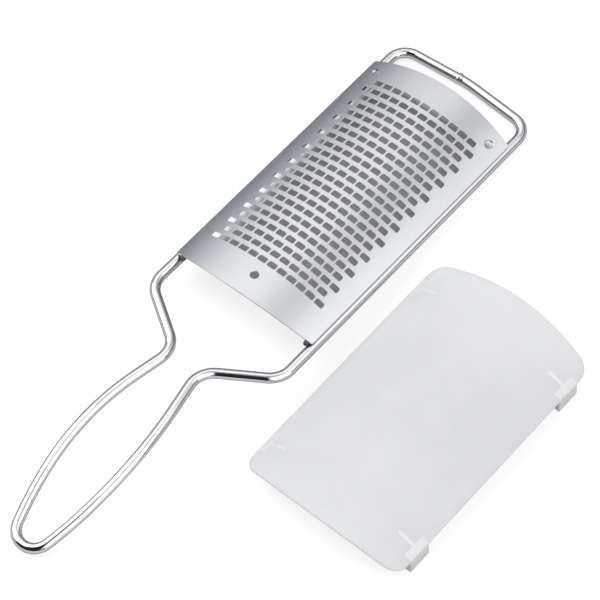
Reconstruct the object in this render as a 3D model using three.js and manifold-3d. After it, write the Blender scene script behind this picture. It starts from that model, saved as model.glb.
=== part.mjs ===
// Hand cheese grater: a bent wire frame with a handle loop, a domed plate with cutting slots
// welded on its side wires, and a clip-on cover lying beside it.
// Millimetres. X runs across the grater, +Y from the handle to the far bar, +Z up from the table.
// The origin is under the middle of the far bar, on the table.
import * as THREE from 'three';
import { mergeGeometries, mergeVertices } from 'three/addons/utils/BufferGeometryUtils.js';
import Module from 'manifold-3d';

const wasm = await Module();
wasm.setup();

// Wire frame: centreline corners before rounding, each measured from the one before it
const wireDiameter = 4.0;
const wireSides = 12;
const wireSteps = 170;
const planDivisions = 24;
const routeDivisions = 4000;
const headHalfWidth = 30.7;
const farHalfWidth = 29.8;
const barCrown = 2.3;
const barCrownRadius = 60;
const cornerRadius = 7.2;
const shoulderFromPlate = 12.5;
const neckFromShoulder = 16.0;
const neckHalfGap = 6.45;
const bendRadius = 9.6;
// The left shoulder and neck are bent this much nearer the bar, the right ones this much farther
const bendSkew = 0.95;
const bellyFromNeck = 50.2;
const bellyHalfWidth = 16.05;
const bellyRadius = 140;
const tipCornerFromBelly = 56.6;
const tipRadius = 7.1;
// Side view: the handle bends down to the table past the neck
const handleBendFromNeck = 13.8;
const handleBendRadius = 172;
const handleBendAngle = THREE.MathUtils.degToRad(17);
// Butt weld where the rod's two ends meet in the far bar
const rodWeldOffset = 4.5;
const rodWeldDiameter = 4.5;
const rodWeldLength = 4.4;
const rodWeldProfileSteps = 6;
const rodEndGap = 0.6;

// Plate: a flat blank rolled across its width, its edges just past the side wires' middles
const plateThickness = 0.5;
const plateRadius = 71.2;
const plateOverhang = 0.6;
const plateLength = 120;
const plateEndRadius = 175;
const plateFromBar = 12.2;
const plateShift = -0.65;
const plateTurn = THREE.MathUtils.degToRad(0.2);
const seatGap = 0.3;
const plateFacets = 12;

// Cutting slots: long and short rows by turns, as many as fit between the margins
const slotLength = 3.6;
const slotWidth = 2.3;
const slotPitch = 4.4;
const rowPitch = 4.31;
const nearRowMargin = 16.5;
const farRowMargin = 12.9;
const rowSideMargin = 6.3;
// All the punching sits this far off the sheet's middle line
const punchShift = -0.3;

// Round holes: one near the handle, two at the far corners
const roundHoleDiameter = 3.4;
const nearHoleMargin = 9.3;
const farHoleMargin = 8.4;
const farHoleSideMargin = 5.5;
const roundHoleSides = 16;
const cutterDepth = 2.0;

// Weld beads under the plate, on the inner side of each side wire
// The near ones stand out a little past the plate's bowed near edge
const beadLength = 5.0;
const nearBeadMargin = 1.6;
const farBeadMargin = 14.0;
const beadReach = 2.4;
const beadFaceAngles = [70, 45, 20].map((degrees) => THREE.MathUtils.degToRad(degrees));

// Cover: rides on ribs over the plate, and its clips hook under the side wires
const coverThickness = 1.0;
const coverShortfall = 6.5;
const coverCornerRadius = 6.5;
const coverFacets = 18;
const coverEdgeOverhang = 0.3;
const coverFitGap = 0.3;
const ribDepth = 1.2;
const ribWidth = 1.8;
const ribReach = 8.0;
const clipWall = 1.5;
const clipLength = 10.0;
const clipMargin = 15.55;
const lipReach = 1.6;
const lipThickness = 1.2;
const filletFacets = 4;
// Where the cover lies on the table
const coverAside = 8.85;
const coverY = -126.15;
const coverTurn = THREE.MathUtils.degToRad(-0.75);

const brightSteel = 0xd9dbde;
const satinSteel = 0xb9bcc2;
const weldSteel = 0x6f7277;
const milkyPlastic = 0xe2e2e4;
const mergeTolerance = 1e-5;

// Derived sizes of the frame
const wireRadius = wireDiameter / 2;
const wireCornerRadius = wireRadius / Math.cos(Math.PI / wireSides);
const crownY = barCrownRadius * (1 / Math.cos(Math.atan(barCrown / farHalfWidth)) - 1);
const farCornerY = crownY - barCrown;
const shoulderFromBar = plateFromBar + plateLength + shoulderFromPlate;
const neckFromBar = shoulderFromBar + neckFromShoulder;
const handleBendFromBar = neckFromBar + handleBendFromNeck;
const bellyFromBar = neckFromBar + bellyFromNeck;
const tipCornerFromBar = bellyFromBar + tipCornerFromBelly;

// Width of the flat blank, and the rows and slots that fit on it
const plateWidth = 2 * plateRadius * Math.asin((headHalfWidth + plateOverhang) / plateRadius);
const rowCount = 1 + Math.floor((plateLength - nearRowMargin - farRowMargin) / rowPitch);
const longRowSlots = 1 + Math.floor((plateWidth - slotLength - 2 * rowSideMargin) / slotPitch);
const patternAhead = (nearRowMargin - farRowMargin) / 2;

// A corner of a bent outline: its point and its bend radius
function corner(x, y, radius) {
  return { point: new THREE.Vector2(x, y), radius };
}

// Straight runs between the points, each corner rounded by a tangent arc
function roundedPath(path, corners) {
  const first = corners[0].point;
  const last = corners[corners.length - 1].point;
  path.moveTo(first.x, first.y);
  for (let i = 1; i < corners.length - 1; i += 1) {
    const { point, radius } = corners[i];
    const back = corners[i - 1].point.clone().sub(point);
    const ahead = corners[i + 1].point.clone().sub(point);
    const room = Math.min(back.length(), ahead.length());
    back.normalize();
    ahead.normalize();
    const half = Math.acos(THREE.MathUtils.clamp(back.dot(ahead), -1, 1)) / 2;
    const reach = Math.min(radius / Math.tan(half), room);
    const arcRadius = reach * Math.tan(half);
    const middle = back.clone().add(ahead).normalize();
    const centre = point.clone().addScaledVector(middle, arcRadius / Math.sin(half));
    const start = point.clone().addScaledVector(back, reach).sub(centre);
    const end = point.clone().addScaledVector(ahead, reach).sub(centre);
    path.lineTo(start.x + centre.x, start.y + centre.y);
    path.absarc(centre.x, centre.y, arcRadius, start.angle(), end.angle(), start.cross(end) < 0);
  }
  path.lineTo(last.x, last.y);
  return path;
}

// Closed geometry to solid and back
function solidOf(geometry) {
  const bare = geometry.clone();
  bare.deleteAttribute('normal');
  bare.deleteAttribute('uv');
  const merged = mergeVertices(bare, mergeTolerance);
  return new wasm.Manifold(new wasm.Mesh({
    numProp: 3,
    vertProperties: new Float32Array(merged.attributes.position.array),
    triVerts: new Uint32Array(merged.index.array),
  }));
}

function geometryOf(solid) {
  const mesh = solid.getMesh();
  const geometry = new THREE.BufferGeometry();
  geometry.setAttribute('position', new THREE.BufferAttribute(mesh.vertProperties, 3));
  geometry.setIndex(new THREE.BufferAttribute(mesh.triVerts, 1));
  geometry.computeVertexNormals();
  return geometry;
}

// A profile drawn in X and Z, run from Y = start to Y = start - length
function extrudeAlongY(shape, start, length, curveSegments) {
  const geometry = new THREE.ExtrudeGeometry(shape, { depth: length, bevelEnabled: false, curveSegments });
  geometry.rotateX(Math.PI / 2);
  geometry.translate(0, start, 0);
  return geometry;
}

// A plan outline run from Z = bottom to Z = top
function extrudeUp(shape, bottom, top, curveSegments) {
  const depth = top - bottom;
  const geometry = new THREE.ExtrudeGeometry(shape, { depth, bevelEnabled: false, curveSegments });
  geometry.translate(0, 0, bottom);
  return geometry;
}

function steel(colour, roughness) {
  return new THREE.MeshStandardMaterial({ color: colour, roughness, metalness: 1 });
}

// Drop of the bent handle below the line of the head at a place along Y
function handleDrop(y) {
  const past = Math.max(-handleBendFromBar - y, 0);
  const bendReach = handleBendRadius * Math.sin(handleBendAngle);
  if (past < bendReach) {
    return handleBendRadius - Math.sqrt(handleBendRadius ** 2 - past ** 2);
  }
  return handleBendRadius * (1 - Math.cos(handleBendAngle)) + (past - bendReach) * Math.tan(handleBendAngle);
}

// The wire's plan, from the weld round the handle and back to the weld
const barSlope = barCrown / farHalfWidth;
const weldY = crownY - rodWeldOffset * barSlope;
const barDirection = new THREE.Vector2(1, barSlope).normalize();
const weldPoint = new THREE.Vector2(-rodWeldOffset, weldY);
const rodStart = weldPoint.clone().addScaledVector(barDirection, rodEndGap / 2);
const rodEnd = weldPoint.clone().addScaledVector(barDirection, -rodEndGap / 2);
const wirePlan = roundedPath(new THREE.Path(), [
  corner(rodStart.x, rodStart.y, 0),
  corner(0, crownY, barCrownRadius),
  corner(farHalfWidth, farCornerY, cornerRadius),
  corner(headHalfWidth, -bendSkew - shoulderFromBar, bendRadius),
  corner(neckHalfGap, -bendSkew - neckFromBar, bendRadius),
  corner(bellyHalfWidth, -bellyFromBar, bellyRadius),
  corner(0, -tipCornerFromBar, tipRadius),
  corner(-bellyHalfWidth, -bellyFromBar, bellyRadius),
  corner(-neckHalfGap, bendSkew - neckFromBar, bendRadius),
  corner(-headHalfWidth, bendSkew - shoulderFromBar, bendRadius),
  corner(-farHalfWidth, farCornerY, cornerRadius),
  corner(rodEnd.x, rodEnd.y, 0),
]);

// The far bar and the handle's tip both rest on the table, which sets the slope of the head
const tipY = Math.min(...wirePlan.getPoints(planDivisions).map((point) => point.y));
const tipLift = wireCornerRadius - wireRadius;
const headSlope = (handleDrop(tipY) + tipLift) / (farCornerY - tipY);
const headPitch = Math.atan(headSlope);

function wireHeight(y) {
  return wireRadius + headSlope * Math.max(farCornerY - y, 0) - handleDrop(y);
}

// The plan lifted to the wire's height
class WireRoute extends THREE.Curve {
  getPoint(t, target = new THREE.Vector3()) {
    const point = wirePlan.getPoint(t);
    return target.set(point.x, point.y, wireHeight(point.y));
  }
}

function wireSection() {
  const points = [];
  for (let i = 0; i < wireSides; i += 1) {
    const angle = ((i + 0.5) / wireSides) * 2 * Math.PI;
    points.push(new THREE.Vector2(Math.cos(angle), Math.sin(angle)).multiplyScalar(wireCornerRadius));
  }
  return new THREE.Shape(points);
}

// One rod round the whole frame, its ends joined by the upset metal of the butt weld
function makeWireFrame() {
  const route = new WireRoute();
  route.arcLengthDivisions = routeDivisions;
  const rod = new THREE.ExtrudeGeometry(wireSection(), { steps: wireSteps, extrudePath: route });
  const weldRadius = rodWeldDiameter / 2;
  const halfLength = rodWeldLength / 2;
  const profile = new THREE.SplineCurve([
    new THREE.Vector2(wireRadius * Math.cos(Math.PI / wireSides), -halfLength),
    new THREE.Vector2(weldRadius, 0),
    new THREE.Vector2(wireRadius * Math.cos(Math.PI / wireSides), halfLength),
  ]).getPoints(rodWeldProfileSteps);
  const weld = new THREE.LatheGeometry([
    new THREE.Vector2(0, -halfLength),
    ...profile,
    new THREE.Vector2(0, halfLength),
  ], wireSides);
  weld.rotateZ(-Math.PI / 2 + barDirection.angle());
  weld.translate(weldPoint.x, weldPoint.y, weldRadius);
  return geometryOf(solidOf(rod).add(solidOf(weld)));
}

// Plate, in the frame of the head: the side wires' centrelines lie at Z = 0 and the far corners at Y = 0.
// Its own frame has Y = 0 at its middle.
const plateHalfAngle = plateWidth / 2 / plateRadius;
const plateLowRadius = plateRadius - plateThickness;
const plateApex = wireCornerRadius + seatGap + plateRadius - plateLowRadius * Math.cos(plateHalfAngle);
const plateFarY = -(plateFromBar + farCornerY);
const plateMiddleY = plateFarY - plateLength / 2;

// A sheet rolled about an axis along Y, with its top at Z = apex
function rolledSheet(radius, thickness, halfAngle, apex, length, facets) {
  const shape = new THREE.Shape();
  const up = Math.PI / 2;
  shape.absarc(0, apex - radius, radius, up - halfAngle, up + halfAngle, false);
  shape.absarc(0, apex - radius, radius - thickness, up + halfAngle, up - halfAngle, true);
  return solidOf(extrudeAlongY(shape, length / 2, length, facets));
}

// A plan outline with straight sides and bowed ends
function bowedOutline(halfWidth, length, endRadius) {
  const half = Math.asin(halfWidth / endRadius);
  const centre = length / 2 - endRadius;
  const shape = new THREE.Shape();
  shape.absarc(0, centre, endRadius, Math.PI / 2 - half, Math.PI / 2 + half, false);
  shape.absarc(0, -centre, endRadius, -Math.PI / 2 - half, -Math.PI / 2 + half, false);
  return shape;
}

// A cutter through the plate at an arc length from the middle line of the punching
function placeOnPlate(cutter, along, y) {
  cutter.translate(0, 0, plateRadius);
  cutter.rotateY((along + punchShift) / plateRadius);
  cutter.translate(0, y, plateApex - plateRadius);
  return cutter;
}

function slotCutters() {
  const cutters = [];
  for (let row = 0; row < rowCount; row += 1) {
    const count = row % 2 === 0 ? longRowSlots : longRowSlots - 1;
    const y = patternAhead + (row - (rowCount - 1) / 2) * rowPitch;
    for (let i = 0; i < count; i += 1) {
      const along = (i - (count - 1) / 2) * slotPitch;
      cutters.push(placeOnPlate(new THREE.BoxGeometry(slotLength, slotWidth, cutterDepth), along, y));
    }
  }
  return mergeGeometries(cutters);
}

function roundCutters() {
  const sideReach = plateWidth / 2 - farHoleSideMargin;
  const farHoleY = plateLength / 2 - farHoleMargin;
  const places = [
    [0, nearHoleMargin - plateLength / 2],
    [-sideReach, farHoleY],
    [sideReach, farHoleY],
  ];
  const radius = roundHoleDiameter / 2;
  return mergeGeometries(places.map(([along, y]) => {
    const cutter = new THREE.CylinderGeometry(radius, radius, cutterDepth, roundHoleSides);
    cutter.rotateX(Math.PI / 2);
    return placeOnPlate(cutter, along, y);
  }));
}

function makePlate() {
  const sheet = rolledSheet(plateRadius, plateThickness, plateHalfAngle, plateApex, plateLength, plateFacets);
  const bowed = bowedOutline(plateWidth / 2, plateLength, plateEndRadius);
  const outline = solidOf(extrudeUp(bowed, -plateApex, 2 * plateApex, plateFacets));
  const slots = solidOf(slotCutters());
  const rounds = solidOf(roundCutters());
  return geometryOf(sheet.intersect(outline).subtract(slots).subtract(rounds));
}

// Half-width of the side wires' centrelines at a place along the head
function sideWireX(headY) {
  const share = -headY / (shoulderFromBar + farCornerY);
  return farHalfWidth + (headHalfWidth - farHalfWidth) * share;
}

// Height of the plate's underside over a place across the head
function plateUnderside(x) {
  return plateApex - plateRadius + Math.sqrt(plateLowRadius ** 2 - (x - plateShift) ** 2);
}

// A weld bead in the crevice between a side wire and the plate's underside
function makeBead(side, y) {
  const wireX = side * sideWireX(y);
  const clear = wireCornerRadius + seatGap;
  const points = beadFaceAngles.map((angle) => (
    new THREE.Vector2(wireX - side * clear * Math.cos(angle), clear * Math.sin(angle))
  ));
  const innerX = wireX - side * (clear + beadReach);
  points.push(new THREE.Vector2(innerX, plateUnderside(innerX) - seatGap - plateThickness / 2));
  const outerX = points[0].x;
  points.push(new THREE.Vector2(outerX, plateUnderside(outerX) - seatGap));
  return extrudeAlongY(new THREE.Shape(points), y + beadLength / 2, beadLength, 1);
}

// Cover, in its own frame: its middle on the table at the origin
const clipInnerX = headHalfWidth + wireRadius + coverFitGap;
const clipOuterX = clipInnerX + clipWall;
const coverHalfWidth = clipOuterX + coverEdgeOverhang;
const coverRadius = plateRadius + ribDepth + coverThickness;
const coverLowRadius = coverRadius - coverThickness;
const coverHalfAngle = Math.asin(coverHalfWidth / coverRadius);
const coverLength = plateLength - coverShortfall;
const clipY = coverLength / 2 - clipMargin;
const coverX = headHalfWidth + wireRadius + coverAside + coverHalfWidth;
// Height of the crest over the table: the lip hooks under the wire while the ribs sit on the plate
const hookDepth = wireRadius + coverFitGap + lipThickness;
const coverApex = hookDepth + plateApex + coverFitGap + ribDepth + coverThickness;

function coverUnderside(x) {
  return coverApex - coverRadius + Math.sqrt(coverLowRadius ** 2 - x ** 2);
}

// One clip on the right-hand side: outer wall, inward lip and the rib under the dome
function makeClip(y) {
  const wallTop = coverUnderside(clipOuterX) + coverThickness / 2;
  const wall = new THREE.BoxGeometry(clipWall, clipLength, wallTop);
  wall.translate(clipInnerX + clipWall / 2, y, wallTop / 2);
  const lip = new THREE.BoxGeometry(lipReach + clipWall / 2, clipLength, lipThickness);
  lip.translate(clipInnerX - lipReach / 2 + clipWall / 4, y, lipThickness / 2);
  const innerX = clipInnerX - ribReach;
  const rib = new THREE.Shape([
    new THREE.Vector2(innerX, coverUnderside(innerX) - ribDepth),
    new THREE.Vector2(clipInnerX + clipWall / 2, coverUnderside(clipInnerX) - ribDepth),
    new THREE.Vector2(clipInnerX + clipWall / 2, coverUnderside(clipInnerX) + coverThickness / 4),
    new THREE.Vector2(innerX, coverUnderside(innerX) + coverThickness / 2),
  ]);
  const ribSolid = solidOf(extrudeAlongY(rib, y + ribWidth / 2, ribWidth, 1));
  return solidOf(wall).add(solidOf(lip)).add(ribSolid);
}

// The cover's plan: straight sides, bowed ends, rounded corners
function coverOutline() {
  const endSlope = (coverHalfWidth - coverCornerRadius) / plateEndRadius;
  const peakY = coverLength / 2 + plateEndRadius * (Math.hypot(1, endSlope) - 1);
  const cornerY = peakY - endSlope * coverHalfWidth;
  return roundedPath(new THREE.Shape(), [
    corner(-coverHalfWidth, 0, 0),
    corner(-coverHalfWidth, -cornerY, coverCornerRadius),
    corner(0, -peakY, plateEndRadius),
    corner(coverHalfWidth, -cornerY, coverCornerRadius),
    corner(coverHalfWidth, cornerY, coverCornerRadius),
    corner(0, peakY, plateEndRadius),
    corner(-coverHalfWidth, cornerY, coverCornerRadius),
    corner(-coverHalfWidth, 0, 0),
  ]);
}

function makeCover() {
  const dome = rolledSheet(coverRadius, coverThickness, coverHalfAngle, coverApex, coverLength, coverFacets);
  const outline = solidOf(extrudeUp(coverOutline(), -coverApex, 2 * coverApex, filletFacets));
  let cover = dome.intersect(outline);
  for (const y of [-clipY, clipY]) {
    const clip = makeClip(y);
    cover = cover.add(clip).add(clip.mirror([1, 0, 0]));
  }
  return geometryOf(cover);
}

function node(name, geometry, material) {
  const mesh = new THREE.Mesh(geometry, material);
  mesh.name = name;
  return mesh;
}

const grater = new THREE.Group();
grater.add(node('wire_frame', makeWireFrame(), steel(brightSteel, 0.12)));

// The head slopes down to the far bar
const head = new THREE.Group();
head.position.set(0, farCornerY, wireRadius);
head.rotation.x = -headPitch;
const plate = node('grater_plate', makePlate(), steel(satinSteel, 0.35));
plate.position.set(plateShift, plateMiddleY, 0);
plate.rotation.z = plateTurn;
head.add(plate);
const beadPlaces = {
  near: plateFarY - plateLength + nearBeadMargin + beadLength / 2,
  middle: plateMiddleY,
  far: plateFarY - farBeadMargin - beadLength / 2,
};
for (const [sideName, side] of Object.entries({ left: -1, right: 1 })) {
  for (const [placeName, y] of Object.entries(beadPlaces)) {
    head.add(node(`weld_${sideName}_${placeName}`, makeBead(side, y), steel(weldSteel, 0.5)));
  }
}
grater.add(head);

const cover = node('blade_cover', makeCover(), new THREE.MeshStandardMaterial({
  color: milkyPlastic, roughness: 0.45, metalness: 0, transparent: true, opacity: 0.7,
}));
cover.position.set(coverX, coverY, 0);
cover.rotation.z = coverTurn;
grater.add(cover);

export default grater;
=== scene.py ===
"""Looks of a hand cheese grater with a wire frame, a domed slotted plate and a clip-on cover.

The frame is that of the solids: X across the grater, +Y from the handle to the far bar, +Z up from
the table, origin under the middle of the far bar. Lengths of the object and the camera are
millimetres until they are placed, and those of the stage are metres.
"""
import math

import bpy
import numpy as np
from mathutils import Matrix, Vector
from mathutils.geometry import delaunay_2d_cdt


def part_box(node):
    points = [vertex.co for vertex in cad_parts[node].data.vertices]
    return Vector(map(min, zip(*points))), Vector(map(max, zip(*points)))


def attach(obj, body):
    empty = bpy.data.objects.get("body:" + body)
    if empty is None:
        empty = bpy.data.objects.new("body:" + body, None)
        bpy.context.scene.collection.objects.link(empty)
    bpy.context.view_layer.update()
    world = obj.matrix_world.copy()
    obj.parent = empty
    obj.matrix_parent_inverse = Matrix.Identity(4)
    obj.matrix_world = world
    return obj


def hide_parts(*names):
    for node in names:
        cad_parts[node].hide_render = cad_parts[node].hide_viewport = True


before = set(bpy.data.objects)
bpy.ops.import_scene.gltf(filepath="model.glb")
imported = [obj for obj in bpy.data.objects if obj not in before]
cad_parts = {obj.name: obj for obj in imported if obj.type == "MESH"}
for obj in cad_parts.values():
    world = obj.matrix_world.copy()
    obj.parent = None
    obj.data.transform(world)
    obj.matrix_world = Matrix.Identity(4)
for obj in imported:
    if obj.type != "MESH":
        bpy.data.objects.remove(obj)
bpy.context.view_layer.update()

MM = 0.001

# Wire frame: centreline corners before rounding, measured from the middle of the far bar
WIRE_RADIUS = 2.0
HEAD_HALF_WIDTH = 30.7
FAR_HALF_WIDTH = 29.8
BAR_CROWN = 2.3
BAR_CROWN_RADIUS = 60.0
CORNER_RADIUS = 7.2
SHOULDER_FROM_BAR = 144.7
NECK_FROM_BAR = 160.7
NECK_HALF_GAP = 6.45
BEND_RADIUS = 9.6
BEND_SKEW = 0.95
BELLY_FROM_BAR = 210.9
BELLY_HALF_WIDTH = 16.05
BELLY_RADIUS = 140.0
TIP_CORNER_FROM_BAR = 267.5
TIP_RADIUS = 7.1
HANDLE_BEND_FROM_BAR = 174.5
HANDLE_BEND_RADIUS = 172.0
HANDLE_BEND_ANGLE = math.radians(17)
TIP_LIFT = 0.07

# The drawn rod is a little thinner, so that it stays within the box of the solid
SECTION_RADIUS = 1.96

# Butt weld in the far bar: a rise of upset metal and the groove of the parting line
ROD_WELD_OFFSET = 4.5
ROD_WELD_RISE = 0.26
ROD_WELD_HALF_LENGTH = 2.0
ROD_WELD_FALL = 1.5
ROD_WELD_GROOVE = 0.12
ROD_WELD_GROOVE_WIDTH = 0.25

# Plate: a blank rolled across its width, its place on the head and its punching
PLATE_THICKNESS = 0.5
PLATE_RADIUS = 71.2
PLATE_WIDTH = 64.8
PLATE_LENGTH = 120.0
PLATE_END_RADIUS = 175.0
PLATE_CORNER_RADIUS = 0.8
PLATE_FROM_BAR = 12.2
PLATE_SHIFT = -0.65
PLATE_TURN = math.radians(0.2)
PLATE_APEX = 10.05
SLOT_LENGTH = 3.6
SLOT_WIDTH = 2.3
SLOT_CORNER_RADIUS = 0.45
SLOT_PITCH = 4.4
ROW_PITCH = 4.31
ROW_COUNT = 22
LONG_ROW_SLOTS = 12
PATTERN_AHEAD = 1.8
PUNCH_SHIFT = -0.3
ROUND_HOLE_RADIUS = 1.7
NEAR_HOLE_MARGIN = 9.3
FAR_HOLE_MARGIN = 8.4
FAR_HOLE_SIDE_MARGIN = 5.5
FAR_HOLE_SINK = 0.28
EDGE_BREAK = 0.07

# Weld beads: shift, width and height as shares of half the node's box
NEAR_BEAD = {"shift": 0.36, "width": 0.62, "height": 0.8}
HIDDEN_BEAD = {"shift": 0.42, "width": 0.5, "height": 0.6}
BEAD_BLUNTNESS = 0.6
BEAD_RIPPLE = 0.05
BEAD_RIPPLES = 4

# Cover: its dome, clips and ribs, and where it lies
COVER_THICKNESS = 1.0
COVER_RADIUS = 73.4
COVER_LENGTH = 113.5
COVER_HALF_WIDTH = 34.8
COVER_CORNER_RADIUS = 6.5
COVER_APEX = 16.06
CLIP_INNER_X = 33.0
CLIP_WALL = 1.5
CLIP_LENGTH = 10.0
CLIP_SPACING = 82.4
CLIP_BEVEL = 0.25
LIP_REACH = 1.6
LIP_THICKNESS = 1.2
RIB_DEPTH = 1.2
RIB_WIDTH = 1.8
RIB_REACH = 8.0
RIB_BEVEL = 0.2
COVER_PLACE = (76.35, -126.15, 0.0)
COVER_TURN = math.radians(-0.75)

# Fineness of the outlines and meshes
FEWEST_ARC_STEPS = 4
PLAN_STEP = 0.25
WIRE_STEP = 0.8
WIRE_SIDES = 28
WELD_STEP = 0.2
PLATE_EDGE_STEP = 1.5
SLOT_STEP = 1.3
ROUND_HOLE_SIDES = 32
BEAD_RINGS = 18
BEAD_SIDES = 14
BEAD_MERGE = 0.001
COVER_EDGE_STEP = 2.0
COVER_ROUNDING_STEPS = 6
BEVEL_SEGMENTS = 3

# Points inside the outlines, which let the sheets follow their domes
PLATE_GRID_STEP = 1.1
PLATE_GRID_HALF_WIDTH = 31.0
PLATE_GRID_END_MARGIN = 4.0
PLAIN_ROW_STEP = 2.0
PLAIN_ROW_ROOM = 1.0
HOLE_ROOM = 0.5
COVER_GRID_STEP = 2.0
COVER_GRID_HALF_WIDTH = 33.0
COVER_GRID_END_MARGIN = 5.0
COVER_GRID_ROWS = 48

# How flat areas are filled with triangles
HULL_TRIANGLES = 0
NEARNESS = 1e-5

# Edges that turn by more degrees than this look sharp
ROUND_SHARP_ANGLE = 60
PLATE_SHARP_ANGLE = 30
COVER_SHARP_ANGLE = 40

# Camera
CAMERA_PLACE = (483.02, -639.65, 1121.58)
CAMERA_TARGET = (10.44, -111.14, 0.0)
CAMERA_ROLL = math.radians(-2.81)
CAMERA_LENS = 221.93
CAMERA_SENSOR = 36.0
CAMERA_REACH = 20000.0

# Where the bent wire and the head lie
CROWN_Y = BAR_CROWN_RADIUS * (math.hypot(1, BAR_CROWN / FAR_HALF_WIDTH) - 1)
FAR_CORNER_Y = CROWN_Y - BAR_CROWN
PLATE_MIDDLE_Y = -(PLATE_FROM_BAR + FAR_CORNER_Y) - PLATE_LENGTH / 2


# Outlines

def fillet(before, corner, after, radius):
    """Centre, radius, start angle and sweep of the arc that rounds a corner."""
    back = (before - corner).normalized()
    ahead = (after - corner).normalized()
    half = math.acos(max(-1.0, min(1.0, back.dot(ahead)))) / 2
    reach = min(radius / math.tan(half), (before - corner).length, (after - corner).length)
    arc_radius = reach * math.tan(half)
    centre = corner + (back + ahead).normalized() * (arc_radius / math.sin(half))
    start = corner + back * reach - centre
    end = corner + ahead * reach - centre
    first = math.atan2(start.y, start.x)
    sweep = math.remainder(math.atan2(end.y, end.x) - first, 2 * math.pi)
    return centre, arc_radius, first, sweep


def rounded_loop(corners, step):
    """Closed outline through (x, y, radius) corners, sampled at about the given step."""
    points = []
    vectors = [Vector(c[:2]) for c in corners]
    for i, (_, _, radius) in enumerate(corners):
        after = vectors[(i + 1) % len(corners)]
        centre, arc_radius, first, sweep = fillet(vectors[i - 1], vectors[i], after, radius)
        count = max(FEWEST_ARC_STEPS, math.ceil(abs(sweep) * arc_radius / step))
        for k in range(count + 1):
            angle = first + sweep * k / count
            points.append(centre + arc_radius * Vector((math.cos(angle), math.sin(angle))))
    dense = []
    for here, ahead in zip(points, points[1:] + points[:1]):
        count = max(1, math.ceil((ahead - here).length / step))
        dense.extend(here.lerp(ahead, k / count) for k in range(count))
    return dense


def bowed_outline(half_width, length, end_radius, corner_radius, step):
    """Straight sides, bowed ends and rounded corners, counter-clockwise."""
    slope = (half_width - corner_radius) / end_radius
    peak = length / 2 + end_radius * (math.hypot(1, slope) - 1)
    side = peak - slope * half_width
    return rounded_loop([
        (-half_width, -side, corner_radius),
        (0, -peak, end_radius),
        (half_width, -side, corner_radius),
        (half_width, side, corner_radius),
        (0, peak, end_radius),
        (-half_width, side, corner_radius),
    ], step)


def slot_outline(x, y, grow):
    """Rounded slot, clockwise, with points along its long sides so that it follows the dome."""
    half_x = SLOT_LENGTH / 2 + grow
    half_y = SLOT_WIDTH / 2 + grow
    radius = SLOT_CORNER_RADIUS + grow
    corners = [(-half_x, -half_y), (-half_x, half_y), (half_x, half_y), (half_x, -half_y)]
    return rounded_loop([(x + a, y + b, radius) for a, b in corners], SLOT_STEP)


def circle_outline(x, y, radius):
    """Round hole, clockwise."""
    turns = [-2 * math.pi * k / ROUND_HOLE_SIDES for k in range(ROUND_HOLE_SIDES)]
    return [Vector((x + radius * math.cos(t), y + radius * math.sin(t))) for t in turns]


# Meshes

def show(thing):
    """Puts an object into the scene."""
    bpy.context.scene.collection.objects.link(thing)


def new_object(name, mesh, sharp_angle):
    """Smooth object whose edges are sharp past an angle in degrees."""
    mesh.validate()
    mesh.shade_smooth()
    mesh.set_sharp_from_angle(angle=math.radians(sharp_angle))
    piece = bpy.data.objects.new(name, mesh)
    show(piece)
    return piece


def fill_between(loops, inner_points):
    """Triangles inside the first loop and outside the others.

    Gives the flat points, the triangles and, for each loop, the numbers of its points.
    """
    flat = []
    loop_ids = []
    for loop in loops:
        loop_ids.append(list(range(len(flat), len(flat) + len(loop))))
        flat.extend(loop)
    flat.extend(inner_points)
    areas = loop_ids[:1] + [ids[::-1] for ids in loop_ids[1:]]
    filled = delaunay_2d_cdt(flat, [], areas, HULL_TRIANGLES, NEARNESS)
    points, _, faces, point_sources, _, face_areas = filled
    where = {}
    for new, olds in enumerate(point_sources):
        for old in olds:
            where[old] = new
    triangles = []
    for face, inside in zip(faces, face_areas):
        if list(inside) == [0]:
            a, b, c = (points[i] for i in face)
            triangles.append(face[::-1] if (b - a).cross(c - a) < 0 else face)
    return points, triangles, [[where[i] for i in ids] for ids in loop_ids]


def sheet_mesh(name, outline_at, holes_at, inner_points, rings, place):
    """Closed sheet with holes.

    rings lists (inset, depth) from the top face to the bottom one, outline_at gives the outer loop
    for an inset, holes_at the inner loops for an inset and a depth, and place turns (u, v, depth)
    into a point.
    """
    loops_by_ring = [[outline_at(inset)] + holes_at(inset, depth) for inset, depth in rings]
    flat, triangles, loop_ids = fill_between(loops_by_ring[0], inner_points)
    count = len(flat)
    top_depth = rings[0][1]
    bottom_depth = rings[-1][1]
    points = [place(p.x, p.y, top_depth) for p in flat]
    points += [place(p.x, p.y, bottom_depth) for p in flat]
    faces = []
    for face in triangles:
        faces.append(tuple(face))
        faces.append(tuple(count + i for i in reversed(face)))
    for number, ids in enumerate(loop_ids):
        levels = [ids]
        for (_, depth), loops in list(zip(rings, loops_by_ring))[1:-1]:
            start = len(points)
            points += [place(p.x, p.y, depth) for p in loops[number]]
            levels.append(list(range(start, start + len(ids))))
        levels.append([count + i for i in ids])
        for i, p in zip(levels[-1], loops_by_ring[-1][number]):
            points[i] = place(p.x, p.y, bottom_depth)
        for upper, lower in zip(levels, levels[1:]):
            for i in range(len(ids)):
                j = (i + 1) % len(ids)
                faces.append((upper[i], lower[i], lower[j], upper[j]))
    mesh = bpy.data.meshes.new(name)
    mesh.from_pydata([Vector(p) * MM for p in points], [], faces)
    return mesh


def dome_place(radius, apex):
    """Point on a sheet rolled about an axis along Y, from arc length, Y and depth."""
    def place(along, y, depth):
        angle = along / radius
        level = radius - depth
        return (level * math.sin(angle), y, apex - radius + level * math.cos(angle))
    return place


# Wire frame

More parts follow.
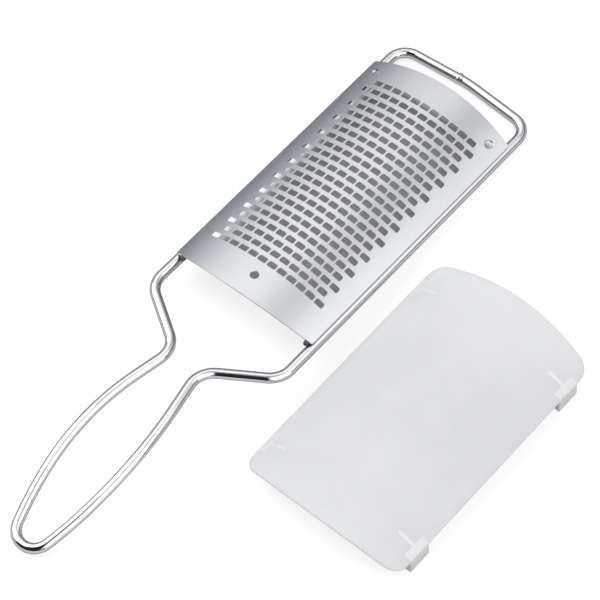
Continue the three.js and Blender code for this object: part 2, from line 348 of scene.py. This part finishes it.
def handle_drop(y):
    """How far the handle's bend takes the wire down at Y."""
    past = max(-HANDLE_BEND_FROM_BAR - y, 0.0)
    bend_reach = HANDLE_BEND_RADIUS * math.sin(HANDLE_BEND_ANGLE)
    if past < bend_reach:
        return HANDLE_BEND_RADIUS - math.sqrt(HANDLE_BEND_RADIUS ** 2 - past ** 2)
    straight = (past - bend_reach) * math.tan(HANDLE_BEND_ANGLE)
    return HANDLE_BEND_RADIUS * (1 - math.cos(HANDLE_BEND_ANGLE)) + straight


def wire_plan():
    """The wire's centreline seen from above."""
    half = [
        (FAR_HALF_WIDTH, FAR_CORNER_Y, CORNER_RADIUS, 0),
        (HEAD_HALF_WIDTH, -SHOULDER_FROM_BAR, BEND_RADIUS, BEND_SKEW),
        (NECK_HALF_GAP, -NECK_FROM_BAR, BEND_RADIUS, BEND_SKEW),
        (BELLY_HALF_WIDTH, -BELLY_FROM_BAR, BELLY_RADIUS, 0),
    ]
    right = [(x, y - skew, radius) for x, y, radius, skew in half]
    left = [(-x, y + skew, radius) for x, y, radius, skew in reversed(half)]
    tip = [(0, -TIP_CORNER_FROM_BAR, TIP_RADIUS)]
    crown = [(0, CROWN_Y, BAR_CROWN_RADIUS)]
    return rounded_loop(crown + right + tip + left, PLAN_STEP)


PLAN = wire_plan()
TIP_Y = min(p.y for p in PLAN)
HEAD_SLOPE = (handle_drop(TIP_Y) + TIP_LIFT) / (FAR_CORNER_Y - TIP_Y)
HEAD_PITCH = math.atan(HEAD_SLOPE)


def wire_height(y):
    """Height of the wire's centreline over the table at Y."""
    return WIRE_RADIUS + HEAD_SLOPE * max(FAR_CORNER_Y - y, 0.0) - handle_drop(y)


def weld_bulge(distance):
    """Upset metal round the butt weld, with the fine groove of the parting line."""
    share = min(abs(distance) / ROD_WELD_HALF_LENGTH, 1.0)
    groove = ROD_WELD_GROOVE * math.exp(-(distance / ROD_WELD_GROOVE_WIDTH) ** 2)
    return ROD_WELD_RISE * (1 - share ** 2) ** ROD_WELD_FALL - groove


def wire_stations(route):
    """Places along the closed route, close together at the weld, and their distances from it."""
    closed = np.vstack([route, route[:1]])
    lengths = np.concatenate([[0], np.cumsum(np.linalg.norm(np.diff(closed, axis=0), axis=1))])
    weld_index = np.argmin(np.hypot(route[:, 0] + ROD_WELD_OFFSET, route[:, 1]))
    weld = lengths[weld_index]
    coarse = np.arange(0, lengths[-1] - WIRE_STEP / 2, WIRE_STEP)
    coarse = coarse[np.abs(coarse - weld) > ROD_WELD_HALF_LENGTH]
    fine = np.arange(weld - ROD_WELD_HALF_LENGTH, weld + ROD_WELD_HALF_LENGTH, WELD_STEP)
    places = np.sort(np.concatenate([coarse, fine]))
    points = np.stack([np.interp(places, lengths, closed[:, k]) for k in range(3)], axis=1)
    return points, places - weld


def make_wire():
    route = np.array([(p.x, p.y, wire_height(p.y)) for p in PLAN])
    points, from_weld = wire_stations(route)
    count = len(points)
    tangents = np.roll(points, -1, axis=0) - np.roll(points, 1, axis=0)
    vertices = []
    faces = []
    for i in range(count):
        tangent = Vector(tangents[i]).normalized()
        side = tangent.cross(Vector((0, 0, 1))).normalized()
        up = side.cross(tangent)
        bulge = weld_bulge(from_weld[i])
        radius = SECTION_RADIUS + bulge
        middle = Vector(points[i]) + Vector((0, 0, max(bulge, 0.0)))
        for k in range(WIRE_SIDES):
            angle = 2 * math.pi * k / WIRE_SIDES
            offset = side * math.cos(angle) + up * math.sin(angle)
            vertices.append((middle + offset * radius) * MM)
            a, b = i * WIRE_SIDES + k, i * WIRE_SIDES + (k + 1) % WIRE_SIDES
            shift = ((i + 1) % count - i) * WIRE_SIDES
            faces.append((a, a + shift, b + shift, b))
    mesh = bpy.data.meshes.new("wire")
    mesh.from_pydata(vertices, [], faces)
    wire = new_object("wire", mesh, ROUND_SHARP_ANGLE)
    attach(wire, "grater")
    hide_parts("wire_frame")
    return wire


# Plate

PLATE_MATRIX = (
    Matrix.Translation((0, FAR_CORNER_Y * MM, WIRE_RADIUS * MM))
    @ Matrix.Rotation(-HEAD_PITCH, 4, "X")
    @ Matrix.Translation((PLATE_SHIFT * MM, PLATE_MIDDLE_Y * MM, 0))
    @ Matrix.Rotation(PLATE_TURN, 4, "Z")
)


def slot_places():
    """Middles of the slots, in rows that are long and short by turns."""
    places = []
    for row in range(ROW_COUNT):
        count = LONG_ROW_SLOTS if row % 2 == 0 else LONG_ROW_SLOTS - 1
        y = PATTERN_AHEAD + (row - (ROW_COUNT - 1) / 2) * ROW_PITCH
        for i in range(count):
            places.append((PUNCH_SHIFT + (i - (count - 1) / 2) * SLOT_PITCH, y))
    return places


def round_places():
    """Middles of the round holes, the near one first."""
    side = PLATE_WIDTH / 2 - FAR_HOLE_SIDE_MARGIN
    far = PLATE_LENGTH / 2 - FAR_HOLE_MARGIN
    return [
        (PUNCH_SHIFT, NEAR_HOLE_MARGIN - PLATE_LENGTH / 2),
        (PUNCH_SHIFT - side, far),
        (PUNCH_SHIFT + side, far),
    ]


def plate_grid():
    """Points on the bands between the rows and on the plain margins, clear of every hole."""
    first = PATTERN_AHEAD - ROW_COUNT / 2 * ROW_PITCH
    bands = [first + k * ROW_PITCH for k in range(ROW_COUNT + 1)]
    end = PLATE_LENGTH / 2 - PLATE_GRID_END_MARGIN
    near_rows = np.arange(-end, bands[0] - PLAIN_ROW_ROOM, PLAIN_ROW_STEP)
    far_rows = np.arange(bands[-1] + PLAIN_ROW_STEP, end, PLAIN_ROW_STEP)
    across = np.arange(-PLATE_GRID_HALF_WIDTH, PLATE_GRID_HALF_WIDTH, PLATE_GRID_STEP)
    room = ROUND_HOLE_RADIUS + HOLE_ROOM
    points = []
    for y in [*bands, *near_rows, *far_rows]:
        for x in across:
            if all(math.hypot(x - a, y - b) > room for a, b in round_places()):
                points.append(Vector((x, y)))
    return points


def make_plate():
    def outline_at(inset):
        return bowed_outline(
            PLATE_WIDTH / 2 - inset, PLATE_LENGTH - 2 * inset, PLATE_END_RADIUS - inset,
            PLATE_CORNER_RADIUS - inset, PLATE_EDGE_STEP,
        )

    def holes_at(inset, depth):
        near, *far = round_places()
        sink = max(inset, FAR_HOLE_SINK - depth) - FAR_HOLE_SINK / 2
        slots = [slot_outline(x, y, inset) for x, y in slot_places()]
        rounds = [circle_outline(*near, ROUND_HOLE_RADIUS + inset)]
        rounds += [circle_outline(*middle, ROUND_HOLE_RADIUS + sink) for middle in far]
        return slots + rounds

    rings = [
        (EDGE_BREAK, 0.0),
        (0.0, EDGE_BREAK),
        (0.0, PLATE_THICKNESS - EDGE_BREAK),
        (EDGE_BREAK, PLATE_THICKNESS),
    ]
    place = dome_place(PLATE_RADIUS, PLATE_APEX)
    mesh = sheet_mesh("plate", outline_at, holes_at, plate_grid(), rings, place)
    plate = new_object("plate", mesh, PLATE_SHARP_ANGLE)
    plate.matrix_world = PLATE_MATRIX
    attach(plate, "grater")
    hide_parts("grater_plate")
    return plate


# Weld beads

def make_bead(node):
    """A lumpy bead of weld metal in the node's space, next to the wire."""
    form = NEAR_BEAD if node.endswith("near") else HIDDEN_BEAD
    low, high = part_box(node)
    middle = (low + high) / 2
    half = (high - low) / 2
    outward = math.copysign(half.x, middle.x)
    vertices = []
    faces = []
    for i in range(BEAD_RINGS + 1):
        along = -math.cos(math.pi * i / BEAD_RINGS)
        girth = math.sqrt(max(1 - along ** 2, 0.0)) ** BEAD_BLUNTNESS
        girth *= 1 - BEAD_RIPPLE * (1 + math.cos(along * BEAD_RIPPLES * math.pi))
        for k in range(BEAD_SIDES):
            angle = 2 * math.pi * k / BEAD_SIDES
            vertices.append(middle + Vector((
                outward * form["shift"] + half.x * form["width"] * girth * math.cos(angle),
                half.y * along,
                half.z * form["height"] * girth * math.sin(angle),
            )))
            if i < BEAD_RINGS:
                a, b = i * BEAD_SIDES + k, i * BEAD_SIDES + (k + 1) % BEAD_SIDES
                faces.append((a, b, b + BEAD_SIDES, a + BEAD_SIDES))
    mesh = bpy.data.meshes.new(node.replace("weld", "bead"))
    mesh.from_pydata(vertices, [], faces)
    bead = new_object(mesh.name, mesh, ROUND_SHARP_ANGLE)
    weld = bead.modifiers.new("ends", "WELD")
    weld.merge_threshold = BEAD_MERGE * MM
    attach(bead, "grater")
    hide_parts(node)
    return bead


# Cover

def cover_underside(x):
    """Height of the shell's lower face at X."""
    low = COVER_RADIUS - COVER_THICKNESS
    return COVER_APEX - COVER_RADIUS + math.sqrt(low ** 2 - x ** 2)


def clip_block(outline, y, length, side, bevel):
    """A prism with the given X and Z outline, centred at Y, with broken edges."""
    count = len(outline)
    vertices = []
    for end in (-length / 2, length / 2):
        vertices += [Vector((side * x, y + end, z)) * MM for x, z in outline]
    faces = [tuple(range(count)), tuple(range(2 * count - 1, count - 1, -1))]
    for i in range(count):
        j = (i + 1) % count
        faces.append((i, count + i, count + j, j))
    if side < 0:
        faces = [face[::-1] for face in faces]
    mesh = bpy.data.meshes.new("clip")
    mesh.from_pydata(vertices, [], faces)
    block = bpy.data.objects.new("clip", mesh)
    show(block)
    edge = block.modifiers.new("edge", "BEVEL")
    edge.width = bevel * MM
    edge.segments = BEVEL_SEGMENTS
    return block


def clip_blocks():
    """The four hooked clips and their ribs, sunk a little into the shell."""
    outer = CLIP_INNER_X + CLIP_WALL
    wall_top = cover_underside(outer) + COVER_THICKNESS / 2
    hook = [
        (CLIP_INNER_X - LIP_REACH, 0.0),
        (outer, 0.0),
        (outer, wall_top),
        (CLIP_INNER_X, wall_top),
        (CLIP_INNER_X, LIP_THICKNESS),
        (CLIP_INNER_X - LIP_REACH, LIP_THICKNESS),
    ]
    inner = CLIP_INNER_X - RIB_REACH
    rib_end = CLIP_INNER_X + CLIP_WALL / 2
    rib = [
        (inner, cover_underside(inner) - RIB_DEPTH),
        (rib_end, cover_underside(CLIP_INNER_X) - RIB_DEPTH),
        (rib_end, cover_underside(CLIP_INNER_X) + COVER_THICKNESS / 4),
        (inner, cover_underside(inner) + COVER_THICKNESS / 2),
    ]
    blocks = []
    for side in (-1, 1):
        for y in (-CLIP_SPACING / 2, CLIP_SPACING / 2):
            blocks.append(clip_block(hook, y, CLIP_LENGTH, side, CLIP_BEVEL))
            blocks.append(clip_block(rib, y, RIB_WIDTH, side, RIB_BEVEL))
    return blocks


def make_cover():
    def to_arc(points):
        return [Vector((COVER_RADIUS * math.asin(p.x / COVER_RADIUS), p.y)) for p in points]

    def outline_at(inset):
        return to_arc(bowed_outline(
            COVER_HALF_WIDTH - inset, COVER_LENGTH - 2 * inset, PLATE_END_RADIUS - inset,
            COVER_CORNER_RADIUS - inset, COVER_EDGE_STEP,
        ))

    half = COVER_THICKNESS / 2
    turns = [math.pi * k / COVER_ROUNDING_STEPS for k in range(COVER_ROUNDING_STEPS + 1)]
    rings = [(half * (1 - math.sin(a)), half * (1 - math.cos(a))) for a in turns]
    side = COVER_GRID_HALF_WIDTH
    end = COVER_LENGTH / 2 - COVER_GRID_END_MARGIN
    grid = [
        Vector((x, y))
        for x in np.arange(-side, side + COVER_GRID_STEP / 2, COVER_GRID_STEP)
        for y in np.linspace(-end, end, COVER_GRID_ROWS)
    ]
    place = dome_place(COVER_RADIUS, COVER_APEX)
    mesh = sheet_mesh("cover", outline_at, lambda inset, depth: [], grid, rings, place)
    shell = new_object("cover_shell", mesh, COVER_SHARP_ANGLE)
    blocks = clip_blocks()
    for block in blocks:
        join = shell.modifiers.new("join", "BOOLEAN")
        join.operation = "UNION"
        join.solver = "EXACT"
        join.object = block
    view = bpy.context.evaluated_depsgraph_get()
    joined = bpy.data.meshes.new_from_object(shell.evaluated_get(view))
    for spare in [shell] + blocks:
        bpy.data.objects.remove(spare)
    joined.name = "cover"
    cover = new_object("cover", joined, COVER_SHARP_ANGLE)
    spot = Matrix.Translation(Vector(COVER_PLACE) * MM)
    cover.matrix_world = spot @ Matrix.Rotation(COVER_TURN, 4, "Z")
    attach(cover, "cover")
    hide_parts("blade_cover")
    return cover


# Nodes of materials and the world

# Noise lies mostly between these values
NOISE_LOW = 0.3
NOISE_HIGH = 0.7


class Nodes:
    """Short way to add and link the nodes of one tree."""

    def __init__(self, tree):
        self.tree = tree
        tree.nodes.clear()

    def add(self, kind):
        return self.tree.nodes.new(kind)

    def link(self, out, into):
        self.tree.links.new(out, into)


def ramp(nodes, value, start, end, low, high):
    """Smooth step of a value, from low at start to high at end."""
    node = nodes.add("ShaderNodeMapRange")
    node.interpolation_type = "SMOOTHSTEP"
    node.inputs["From Min"].default_value = start
    node.inputs["From Max"].default_value = end
    node.inputs["To Min"].default_value = low
    node.inputs["To Max"].default_value = high
    nodes.link(value, node.inputs["Value"])
    return node.outputs["Result"]


def compute(nodes, operation, first, second=0.0):
    """Math node whose second term is a socket or a number, where it needs one."""
    node = nodes.add("ShaderNodeMath")
    node.operation = operation
    nodes.link(first, node.inputs[0])
    if isinstance(second, float):
        node.inputs[1].default_value = second
    else:
        nodes.link(second, node.inputs[1])
    return node.outputs[0]


def box_distance(nodes, x, y, low, high, corner):
    """Distance from the plan of an upright box with round corners, negative inside it."""
    reaches = []
    squares = []
    for value, first, last in ((x, low[0], high[0]), (y, low[1], high[1])):
        offset = compute(nodes, "SUBTRACT", value, (first + last) / 2)
        aside = compute(nodes, "ABSOLUTE", offset)
        reach = compute(nodes, "SUBTRACT", aside, (last - first) / 2 - corner)
        outside = compute(nodes, "MAXIMUM", reach, 0.0)
        reaches.append(reach)
        squares.append(compute(nodes, "MULTIPLY", outside, outside))
    outer = compute(nodes, "SQRT", compute(nodes, "ADD", *squares))
    inner = compute(nodes, "MINIMUM", compute(nodes, "MAXIMUM", *reaches), 0.0)
    return compute(nodes, "SUBTRACT", compute(nodes, "ADD", outer, inner), corner)


def own_place(nodes):
    """X and Y in the piece's own frame."""
    place = nodes.add("ShaderNodeTexCoord")
    parts = nodes.add("ShaderNodeSeparateXYZ")
    nodes.link(place.outputs["Object"], parts.inputs["Vector"])
    return parts.outputs["X"], parts.outputs["Y"]


def new_material(name):
    """Material with one shader, and the nodes of its tree."""
    material = bpy.data.materials.new(name)
    material.use_nodes = True
    nodes = Nodes(material.node_tree)
    shader = nodes.add("ShaderNodeBsdfPrincipled")
    out = nodes.add("ShaderNodeOutputMaterial")
    nodes.link(shader.outputs["BSDF"], out.inputs["Surface"])
    return material, nodes, shader


def grain(nodes, scale, detail, stretch=(1, 1, 1)):
    """Noise in the piece's own coordinates, stretched along its axes."""
    place = nodes.add("ShaderNodeTexCoord")
    mapping = nodes.add("ShaderNodeMapping")
    mapping.inputs["Scale"].default_value = stretch
    noise = nodes.add("ShaderNodeTexNoise")
    noise.inputs["Scale"].default_value = scale
    noise.inputs["Detail"].default_value = detail
    nodes.link(place.outputs["Object"], mapping.inputs["Vector"])
    nodes.link(mapping.outputs["Vector"], noise.inputs["Vector"])
    return noise.outputs["Fac"]


def spread(nodes, value, low, high):
    """Maps a noise value from its usual middle range to low and high."""
    node = nodes.add("ShaderNodeMapRange")
    node.inputs["From Min"].default_value = NOISE_LOW
    node.inputs["From Max"].default_value = NOISE_HIGH
    node.inputs["To Min"].default_value = low
    node.inputs["To Max"].default_value = high
    nodes.link(value, node.inputs["Value"])
    return node.outputs["Result"]


def two_tones(nodes, value, dark, light):
    """Colour between two tones, by a noise value."""
    tones = nodes.add("ShaderNodeValToRGB")
    first, last = tones.color_ramp.elements
    first.position = NOISE_LOW
    first.color = (*dark, 1)
    last.position = NOISE_HIGH
    last.color = (*light, 1)
    nodes.link(value, tones.inputs["Fac"])
    return tones.outputs["Color"]


def add_bump(nodes, shader, value, strength, distance):
    """Relief of a shader's surface, with its distance in millimetres."""
    bump = nodes.add("ShaderNodeBump")
    bump.inputs["Strength"].default_value = strength
    bump.inputs["Distance"].default_value = distance * MM
    nodes.link(value, bump.inputs["Height"])
    nodes.link(bump.outputs["Normal"], shader.inputs["Normal"])


# Metals

# Painted shade: a near-black edge tint that darkens the wire's reflections at grazing angles
WIRE_EDGE_SHADE_TINT = (0.04, 0.045, 0.055, 1)


def satin_steel():
    """Rolled sheet: fine lines along its length, a faint cloudiness and a soft sheen."""
    material, nodes, shader = new_material("satin_steel")
    lines = grain(nodes, scale=420, detail=3, stretch=(6, 0.5, 6))
    clouds = grain(nodes, scale=45, detail=3)
    tones = two_tones(nodes, clouds, dark=(0.63, 0.64, 0.665), light=(0.665, 0.672, 0.688))
    nodes.link(tones, shader.inputs["Base Color"])
    nodes.link(spread(nodes, lines, low=0.21, high=0.27), shader.inputs["Roughness"])
    shader.inputs["Metallic"].default_value = 1.0
    add_bump(nodes, shader, lines, strength=0.02, distance=0.02)
    return material


def polished_wire():
    """Polished rod: bright, with faint draw marks, tiny waves from bending and painted shade in its
    grazing reflections.
    """
    material, nodes, shader = new_material("polished_wire")
    marks = grain(nodes, scale=420, detail=2)
    waves = grain(nodes, scale=70, detail=2)
    tones = two_tones(nodes, marks, dark=(0.70, 0.705, 0.71), light=(0.74, 0.74, 0.745))
    nodes.link(tones, shader.inputs["Base Color"])
    nodes.link(spread(nodes, marks, low=0.04, high=0.08), shader.inputs["Roughness"])
    shader.inputs["Metallic"].default_value = 1.0
    # Painted shade: the edge tint darkens the rims of the wire's reflections
    shader.inputs["Specular Tint"].default_value = WIRE_EDGE_SHADE_TINT
    add_bump(nodes, shader, waves, strength=0.015, distance=0.1)
    return material


def weld_metal():
    """Dull weld metal, blotched by its heat."""
    material, nodes, shader = new_material("weld_metal")
    blotches = grain(nodes, scale=500, detail=4)
    tones = two_tones(nodes, blotches, dark=(0.06, 0.06, 0.064), light=(0.17, 0.165, 0.16))
    nodes.link(tones, shader.inputs["Base Color"])
    nodes.link(spread(nodes, blotches, low=0.4, high=0.6), shader.inputs["Roughness"])
    shader.inputs["Metallic"].default_value = 1.0
    add_bump(nodes, shader, blotches, strength=0.3, distance=0.2)
    return material


# Plastic, milkier at the clips and ribs where the moulding is thicker, and painted lighter there,
# more so on the right

PLASTIC_INDEX = 1.49
DEPTH_SHARE = 0.6
DEPTH_RADIUS = (1.0, 1.0, 1.0)
DEPTH_SCALE = 3.0
MILK_SHARE = 0.15
THICK_AND_LIT_EDGE = 0.8
THICK_AND_LIT_CORNER = 0.5
THICK_AND_LIT_SHARE = 0.75
LEFT_PAINTED_LIGHT_SHARE = 0.62


def thick_and_lit_places(nodes):
    """Milkiness over the clips and ribs, where the moulding is thicker, with painted light that
    whitens them more on the right than on the left; 0 elsewhere.
    """
    side, along = own_place(nodes)
    x = compute(nodes, "ABSOLUTE", side)
    y = compute(nodes, "ABSOLUTE", along)
    middle = CLIP_SPACING / 2
    distances = []
    for inward, width in ((RIB_REACH, RIB_WIDTH), (LIP_REACH, CLIP_LENGTH)):
        low = ((CLIP_INNER_X - inward) * MM, (middle - width / 2) * MM)
        high = (COVER_HALF_WIDTH * MM, (middle + width / 2) * MM)
        distances.append(box_distance(nodes, x, y, low, high, THICK_AND_LIT_CORNER * MM))
    nearest = compute(nodes, "MINIMUM", *distances)
    edge = THICK_AND_LIT_EDGE * MM
    thick_and_lit = ramp(nodes, nearest, edge, -edge, 0.0, 1.0)
    # Painted light: the whitening over the clips and ribs is weaker on the left side than on the
    # right
    reach = CLIP_INNER_X * MM
    share = ramp(nodes, side, -reach, reach, LEFT_PAINTED_LIGHT_SHARE * THICK_AND_LIT_SHARE, THICK_AND_LIT_SHARE)
    return compute(nodes, "MULTIPLY", thick_and_lit, share)


def milky_plastic():
    """Translucent moulding: cloudy depth, milkier and painted lighter where thick, with a faintly
    textured skin.
    """
    material, nodes, shader = new_material("milky_plastic")
    clouds = grain(nodes, scale=22, detail=3)
    skin = grain(nodes, scale=2600, detail=2)
    cloudiness = spread(nodes, clouds, low=0.25, high=0.42)
    # Painted light: over the clips and ribs the shell turns whiter and less see-through
    milkiness_and_light = compute(nodes, "MAXIMUM", cloudiness, thick_and_lit_places(nodes))
    tones = two_tones(nodes, milkiness_and_light, dark=(0.85, 0.853, 0.872), light=(0.98, 0.98, 0.98))
    nodes.link(tones, shader.inputs["Base Color"])
    nodes.link(spread(nodes, skin, low=0.38, high=0.48), shader.inputs["Roughness"])
    nodes.link(spread(nodes, milkiness_and_light, low=0.72, high=0.95), shader.inputs["Alpha"])
    shader.inputs["IOR"].default_value = PLASTIC_INDEX
    shader.inputs["Subsurface Weight"].default_value = DEPTH_SHARE
    shader.inputs["Subsurface Radius"].default_value = DEPTH_RADIUS
    shader.inputs["Subsurface Scale"].default_value = DEPTH_SCALE * MM
    add_bump(nodes, shader, skin, strength=0.05, distance=0.05)
    milk = nodes.add("ShaderNodeBsdfTranslucent")
    milk_tones = two_tones(nodes, clouds, dark=(0.9, 0.9, 0.92), light=(0.94, 0.94, 0.94))
    nodes.link(milk_tones, milk.inputs["Color"])
    blend = nodes.add("ShaderNodeMixShader")
    blend.inputs["Fac"].default_value = MILK_SHARE
    out = nodes.tree.nodes["Material Output"]
    nodes.link(shader.outputs["BSDF"], blend.inputs[1])
    nodes.link(milk.outputs["BSDF"], blend.inputs[2])
    nodes.link(blend.outputs["Shader"], out.inputs["Surface"])
    return material


# Floor, which keeps the object's own shadow, and a box of painted shade under the plate

FLOOR_REACH = 3.0
FLOOR_LEVEL = -0.0001
FLOOR_TONE = 0.42
FLOOR_LIFT = 0.68
MIRRORED_LIFT = 0.45
PAINTED_SHADE_START = 0.0045
PAINTED_SHADE_FULL = 0.009
PAINTED_SHADE_NEAR_SHIFT = 0.007
PAINTED_SHADE_LEFT_SHIFT = 0.0038
PAINTED_SHADE_FAR_SHIFT = 0.0027
PAINTED_SHADE_CORNER = 0.009


def make_floor():
    """White sweep, lifted to white except in a box of painted shade under the plate."""
    corners = [(-1, -1), (1, -1), (1, 1), (-1, 1)]
    points = [(FLOOR_REACH * x, FLOOR_REACH * y, FLOOR_LEVEL) for x, y in corners]
    mesh = bpy.data.meshes.new("floor")
    mesh.from_pydata(points, [], [tuple(range(len(corners)))])
    floor = bpy.data.objects.new("floor", mesh)
    show(floor)
    material = bpy.data.materials.new("floor")
    material.use_nodes = True
    nodes = Nodes(material.node_tree)
    paper = nodes.add("ShaderNodeBsdfDiffuse")
    paper.inputs["Color"].default_value = (FLOOR_TONE, FLOOR_TONE, FLOOR_TONE, 1)
    glow = nodes.add("ShaderNodeEmission")
    path = nodes.add("ShaderNodeLightPath")
    mirrored = compute(nodes, "MULTIPLY", path.outputs["Is Glossy Ray"], MIRRORED_LIFT)
    seen = compute(nodes, "MAXIMUM", path.outputs["Is Camera Ray"], mirrored)
    seen = compute(nodes, "MAXIMUM", seen, path.outputs["Is Transmission Ray"])
    # Painted shade: the glow that lifts the floor to white is left out in a soft, round-cornered
    # box at the plate's plan, shifted left and towards the far end
    low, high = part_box("grater_plate")
    painted_shade_low = (low.x - PAINTED_SHADE_LEFT_SHIFT, low.y + PAINTED_SHADE_NEAR_SHIFT)
    painted_shade_high = (high.x, high.y + PAINTED_SHADE_FAR_SHIFT)
    from_painted_shade = box_distance(nodes, *own_place(nodes), painted_shade_low, painted_shade_high, PAINTED_SHADE_CORNER)
    clear = ramp(nodes, from_painted_shade, -PAINTED_SHADE_FULL, -PAINTED_SHADE_START, 0.0, FLOOR_LIFT)
    nodes.link(compute(nodes, "MULTIPLY", seen, clear), glow.inputs["Strength"])
    total = nodes.add("ShaderNodeAddShader")
    out = nodes.add("ShaderNodeOutputMaterial")
    nodes.link(paper.outputs["BSDF"], total.inputs[0])
    nodes.link(glow.outputs["Emission"], total.inputs[1])
    nodes.link(total.outputs["Shader"], out.inputs["Surface"])
    mesh.materials.append(material)


# Studio: places are parts of the ray's direction, and levels are shares of the brightest

ROOF_LOW = -0.05
ROOF_HIGH = 0.8
FRONT_DARK = -0.32
FRONT_BRIGHT = -0.04
FRONT_NARROWING = 1.5
BACK_BRIGHT = 0.42
BACK_DIM = 0.66
BACK_LEVEL = 0.6
BACK_SKEW = 0.08
ZENITH_START = 0.9
ZENITH_FULL = 0.98
ZENITH_LEVEL = 0.55
GAP_X = 0.05
GAP_REACH = 0.34
GAP_LEVEL = 0.66
STUDIO_DARK = 0.03
STUDIO_BRIGHT = 1.5
STUDIO_TINT = (0.8, 0.86, 1.0)


def make_world():
    """Bright roof with a dim gap, dimmer at the zenith and far back, and dark low down in front."""
    world = bpy.data.worlds.new("studio")
    world.use_nodes = True
    nodes = Nodes(world.node_tree)
    ray = nodes.add("ShaderNodeTexCoord")
    parts = nodes.add("ShaderNodeSeparateXYZ")
    nodes.link(ray.outputs["Generated"], parts.inputs["Vector"])
    x, y, z = (parts.outputs[axis] for axis in "XYZ")
    roof = ramp(nodes, z, ROOF_LOW, ROOF_HIGH, 0.0, 1.0)
    narrowing = compute(nodes, "MULTIPLY", compute(nodes, "MULTIPLY", x, x), FRONT_NARROWING)
    front_place = compute(nodes, "ADD", y, narrowing)
    front = ramp(nodes, front_place, FRONT_DARK, FRONT_BRIGHT, 0.0, 1.0)
    back_place = compute(nodes, "SUBTRACT", y, compute(nodes, "MULTIPLY", x, BACK_SKEW))
    back = ramp(nodes, back_place, BACK_BRIGHT, BACK_DIM, 1.0, BACK_LEVEL)
    from_gap = compute(nodes, "ABSOLUTE", compute(nodes, "SUBTRACT", x, GAP_X))
    gap = ramp(nodes, from_gap, 0.0, GAP_REACH, GAP_LEVEL, 1.0)
    zenith = ramp(nodes, z, ZENITH_START, ZENITH_FULL, 1.0, ZENITH_LEVEL)
    level = roof
    for factor in (front, back, gap, zenith):
        level = compute(nodes, "MULTIPLY", level, factor)
    glow = nodes.add("ShaderNodeMapRange")
    glow.inputs["To Min"].default_value = STUDIO_DARK
    glow.inputs["To Max"].default_value = STUDIO_BRIGHT
    nodes.link(level, glow.inputs["Value"])
    path = nodes.add("ShaderNodeLightPath")
    shown = compute(nodes, "MAXIMUM", glow.outputs["Result"], path.outputs["Is Camera Ray"])
    tint = nodes.add("ShaderNodeValToRGB")
    tint.color_ramp.elements[0].color = (*STUDIO_TINT, 1)
    nodes.link(shown, tint.inputs["Fac"])
    sky = nodes.add("ShaderNodeBackground")
    out = nodes.add("ShaderNodeOutputWorld")
    nodes.link(tint.outputs["Color"], sky.inputs["Color"])
    nodes.link(shown, sky.inputs["Strength"])
    nodes.link(sky.outputs["Background"], out.inputs["Surface"])
    bpy.context.scene.world = world


# Lamps and camera

LAMP_TARGET = (0.03, -0.12, 0.0)
LAMPS = {
    "overhead": {"place": (-0.45, -0.1, 1.5), "size": 0.5, "power": 2.3},
    "left_fill": {"place": (-0.95, -0.45, 0.85), "size": 1.2, "power": 6.1},
    "right_fill": {"place": (1.1, -0.35, 0.5), "size": 1.2, "power": 4.4},
}


def look(place, target):
    """Turn that points a lamp or a camera from a place to a target."""
    return (Vector(target) - Vector(place)).to_track_quat("-Z", "Y")


def make_lamps():
    for name, lamp in LAMPS.items():
        data = bpy.data.lights.new(name, "AREA")
        data.size = lamp["size"]
        data.energy = lamp["power"]
        light = bpy.data.objects.new(name, data)
        light.location = lamp["place"]
        light.rotation_euler = look(lamp["place"], LAMP_TARGET).to_euler()
        show(light)


def make_camera():
    data = bpy.data.cameras.new("camera")
    data.lens = CAMERA_LENS
    data.sensor_width = CAMERA_SENSOR
    data.clip_end = CAMERA_REACH * MM
    camera = bpy.data.objects.new("camera", data)
    place = Vector(CAMERA_PLACE) * MM
    view = look(place, Vector(CAMERA_TARGET) * MM).to_matrix().to_4x4()
    camera.matrix_world = Matrix.Translation(place) @ view @ Matrix.Rotation(CAMERA_ROLL, 4, "Z")
    show(camera)
    bpy.context.scene.camera = camera


# The whole scene

def dress(pieces, material):
    """Gives each piece the one material."""
    for piece in pieces:
        piece.data.materials.clear()
        piece.data.materials.append(material)


make_camera()
make_world()
make_lamps()
make_floor()
dress([make_wire()], polished_wire())
dress([make_plate()], satin_steel())
dress([make_cover()], milky_plastic())
bead_nodes = sorted(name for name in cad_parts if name.startswith("weld_"))
dress([make_bead(name) for name in bead_nodes], weld_metal())
bpy.context.scene.view_settings.view_transform = "Standard"
